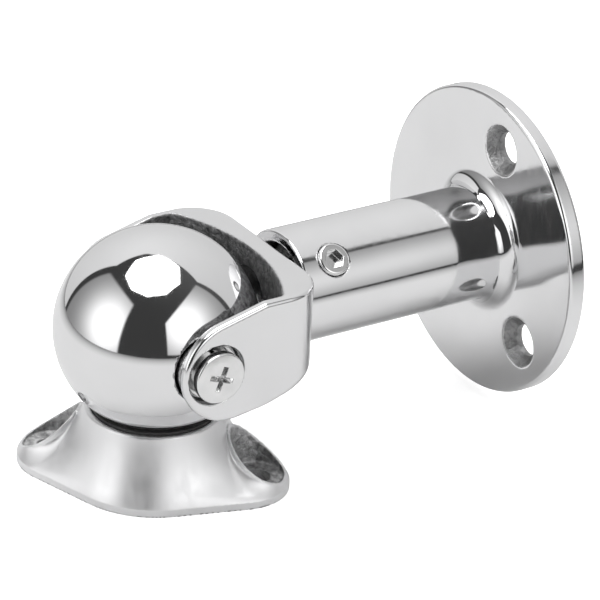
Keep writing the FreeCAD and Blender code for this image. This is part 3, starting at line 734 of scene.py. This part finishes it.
def make_studio():
    """A white sweep behind and to the right, an opening in front with a large soft panel
    on each side of the dark room, and an octagonal soft box overhead."""
    world = bpy.data.worlds.new("studio")
    bpy.context.scene.world = world
    world.use_nodes = True
    tree = world.node_tree
    place = tree.nodes.new("ShaderNodeTexCoord")
    direction = place.outputs["Generated"]
    near_left, near_right = (-0.655, -0.239, 0.717), (-0.30, -0.80, 0.52)
    low_left, low_right = (-0.95, -0.29, -0.30), (-0.33, -0.94, -0.30)
    far_left, top_left = (-0.37, 0.93, -0.30), (-0.30, 0.60, 0.74)
    top_right, far_right = (0.53, -0.29, 0.80), (0.95, -0.33, -0.30)
    opening = 0.0
    for corners in ((far_left, top_left, near_left, low_left),
                    (top_left, (0.09, 0.47, 0.88), top_right, near_right, near_left),
                    (top_right, far_right, low_right, near_right),
                    (near_left, near_right, low_right, low_left)):
        opening = maths(tree, "ADD", panel(tree, direction, corners, 0.012), opening, clamp=True)
    left = panel(tree, direction, [
        low_left, near_left, (-0.43, 0.57, 0.68), (-0.42, 0.89, -0.30)], 0.03)
    right = panel(tree, direction, [
        (-0.33, -0.94, -0.06), near_right, (0.485, -0.35, 0.80), (0.895, -0.44, -0.06)], 0.02)
    turns = [math.pi * index / 4 for index in range(8)]
    box = panel(tree, direction, [
        (SOFT_BOX_REACH * math.cos(turn) - SOFT_BOX_SHIFT, SOFT_BOX_REACH * math.sin(turn), 1.0)
        for turn in turns], 0.006)
    sweep = glow(tree, direction, (0.1, 0.5, 0.8), 0.62, 0.30, math.radians(60))
    dark = glow(tree, direction, (0.6, -0.1, 0.8), 0.05, 0.05, math.radians(40))
    light = mix_numbers(tree, opening, sweep, dark)
    light = mix_numbers(tree, left, light,
                        glow(tree, direction, (-0.93, 0.0, 0.26), 0.26, 1.6, math.radians(29)))
    light = mix_numbers(tree, right, light,
                        glow(tree, direction, (0.06, -0.88, 0.42), 0.30, 1.5, math.radians(28)))
    light = mix_numbers(tree, box, light, SOFT_BOX_LIGHT)
    studio = tree.nodes["Background"]
    studio.inputs["Color"].default_value = (1, 1, 1, 1)
    tree.links.new(light, studio.inputs["Strength"])
    plain = tree.nodes.new("ShaderNodeBackground")
    plain.inputs["Strength"].default_value = 1.0
    plain.inputs["Color"].default_value = (1, 1, 1, 1)
    rays = tree.nodes.new("ShaderNodeLightPath")
    mix = tree.nodes.new("ShaderNodeMixShader")
    tree.links.new(rays.outputs["Is Camera Ray"], mix.inputs["Fac"])
    tree.links.new(studio.outputs["Background"], mix.inputs[1])
    tree.links.new(plain.outputs["Background"], mix.inputs[2])
    tree.links.new(mix.outputs["Shader"], tree.nodes["World Output"].inputs["Surface"])
    bpy.context.scene.view_settings.view_transform = "Standard"


make_camera()
make_floor()
make_studio()

polished = steel("polished_steel", 0.79, 0.045, 0.12)
satin = steel("polished_flats", 0.77, 0.10, 0.5)
hand_polished = steel("polished_flange", 0.79, 0.08, 1.2)
# The base's raw skin gets a lighter painted shade than the other pieces' hollows.
brushed = steel("satin_casting", 0.80, 0.40, 0.10, raw_shade_level=0.42, cast_rough=0.55,
                smears=0.12)
drawn = steel("polished_tube", 0.80, 0.07, 0.12)
fastener = turned_steel("fastener_steel", 0.72, 0.16)
screw_steel = turned_steel("screw_steel", 0.78, 0.12)
# The spigot's steel is painted dark, standing in for the shade deep inside the tube.
spigot_shade_steel = raw_steel("cast_steel", 0.22, 0.5, 0.2)
black_nylon_and_gap_shade = nylon("black_nylon_and_gap_shade")

base = carve("deck_base_casting", base_shape, base_low, base_high, CASTING_STEP, base_raw_and_shade)
settle(base, "base", ["deck_base"], brushed)
ball = carve("ball_turned", ball_shape, [-BALL_RADIUS, -BALL_RADIUS, PIVOT_Z - BALL_RADIUS],
             [BALL_RADIUS, BALL_RADIUS, PIVOT_Z + BALL_RADIUS], BALL_STEP, ball_raw_and_shade)
settle(ball, "ball", ["swivel_ball"], polished)
yoke = carve("yoke_casting", yoke_shape, yoke_low, yoke_high, CASTING_STEP, yoke_raw_and_shade)
settle(yoke, "yoke", ["yoke"], satin)
tube = carve("socket_tube_turned", tube_shape, tube_low, tube_high, TURNED_STEP, tube_raw_and_shade)
settle(tube, "socket", ["socket_tube"], drawn)
reach = TUBE_RADIUS + ROOT_CURVE
weld = carve("root_weld_dressed", weld_shape, [ROOT_END - ROOT_CURVE, -reach, TUBE_Z - reach],
             [ROOT_END + ROOT_DEPTH, reach, TUBE_Z + reach], ROOT_STEP)
settle(weld, "socket", ["root_weld"], polished)
flange = carve("flange_turned", flange_shape, flange_low, flange_high, TURNED_STEP,
               flange_raw_and_shade)
settle(flange, "socket", ["flange_plate"], hand_polished)
set_low, set_high = box_mm("set_screw")
set_screw = carve("set_screw_socket", set_screw_shape, set_low, set_high, SET_SCREW_STEP)
settle(set_screw, "set_screw", ["set_screw"], screw_steel)
for side_name, side in (("near", -1), ("far", 1)):
    node = "pivot_screw_" + side_name
    low, high = box_mm(node)
    screw = carve("cross_screw_" + side_name, cross_screw(side), low, high, CROSS_SCREW_STEP)
    settle(screw, "ball", [node], screw_steel)

KEPT_NODES = {
    "seat_ring": black_nylon_and_gap_shade, "friction_washer_near": black_nylon_and_gap_shade,
    "friction_washer_far": black_nylon_and_gap_shade, "roll_washer": black_nylon_and_gap_shade, "spigot": spigot_shade_steel,
    "swivel_bolt": fastener, "swivel_spring_washer": fastener, "swivel_washer": fastener,
    "yoke_bolt": fastener, "pivot_washer_near": fastener, "pivot_washer_far": fastener,
    "pivot_spring_washer_near": fastener, "pivot_spring_washer_far": fastener,
}
for node, material in KEPT_NODES.items():
    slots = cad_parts[node].data.materials
    slots.clear()
    slots.append(material)
